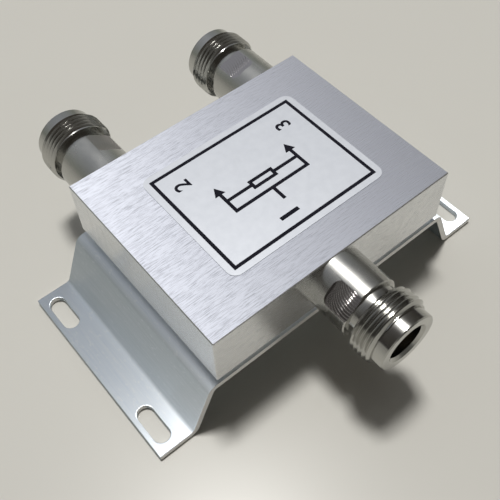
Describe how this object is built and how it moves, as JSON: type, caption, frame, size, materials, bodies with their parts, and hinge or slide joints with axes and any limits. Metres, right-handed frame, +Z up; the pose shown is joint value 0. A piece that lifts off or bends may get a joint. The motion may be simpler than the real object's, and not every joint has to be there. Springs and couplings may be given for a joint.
{
  "type": "rf power splitter",
  "caption": "Machined aluminium coaxial power splitter box with threaded socket connectors on opposite faces, on a folded slotted mounting bracket.",
  "frame": {"origin": "on the mounting surface, midway between the bracket's flanges and between the ends of the input and output connectors", "axes": "+X across the two outputs, from the first to the second; +Y from the input to the outputs; +Z up, away from the mounting surface"},
  "size_m": [0.0934, 0.0888, 0.0309],
  "materials": {
    "brushed_aluminium": "brushed",
    "satin_aluminium": "satin",
    "nickel_plate": "polished plating",
    "gold_plate": "plated",
    "insulator_plastic": "matte",
    "label_foil": "satin, printed",
    "board_laminate": "matte",
    "track_copper": "etched",
    "chip_ceramic": "matte",
    "solder": "satin",
    "screw_steel": "bright"
  },
  "bodies": {
    "root": {"housing": "brushed_aluminium", "bottom_cover": "satin_aluminium", "mounting_bracket": "satin_aluminium", "label": "label_foil", "input_shell": "nickel_plate", "output_1_shell": "nickel_plate", "output_2_shell": "nickel_plate", "input_insulator": "insulator_plastic", "output_1_insulator": "insulator_plastic", "output_2_insulator": "insulator_plastic", "input_contact": "gold_plate", "output_1_contact": "gold_plate", "output_2_contact": "gold_plate", "circuit_board": "board_laminate", "divider_tracks": "track_copper", "input_side_resistor": "chip_ceramic", "output_side_resistor": "chip_ceramic", "solder_joints": "solder", "cover_screws": "screw_steel", "bracket_screws": "screw_steel", "board_screws": "screw_steel"}
  },
  "joints": []
}
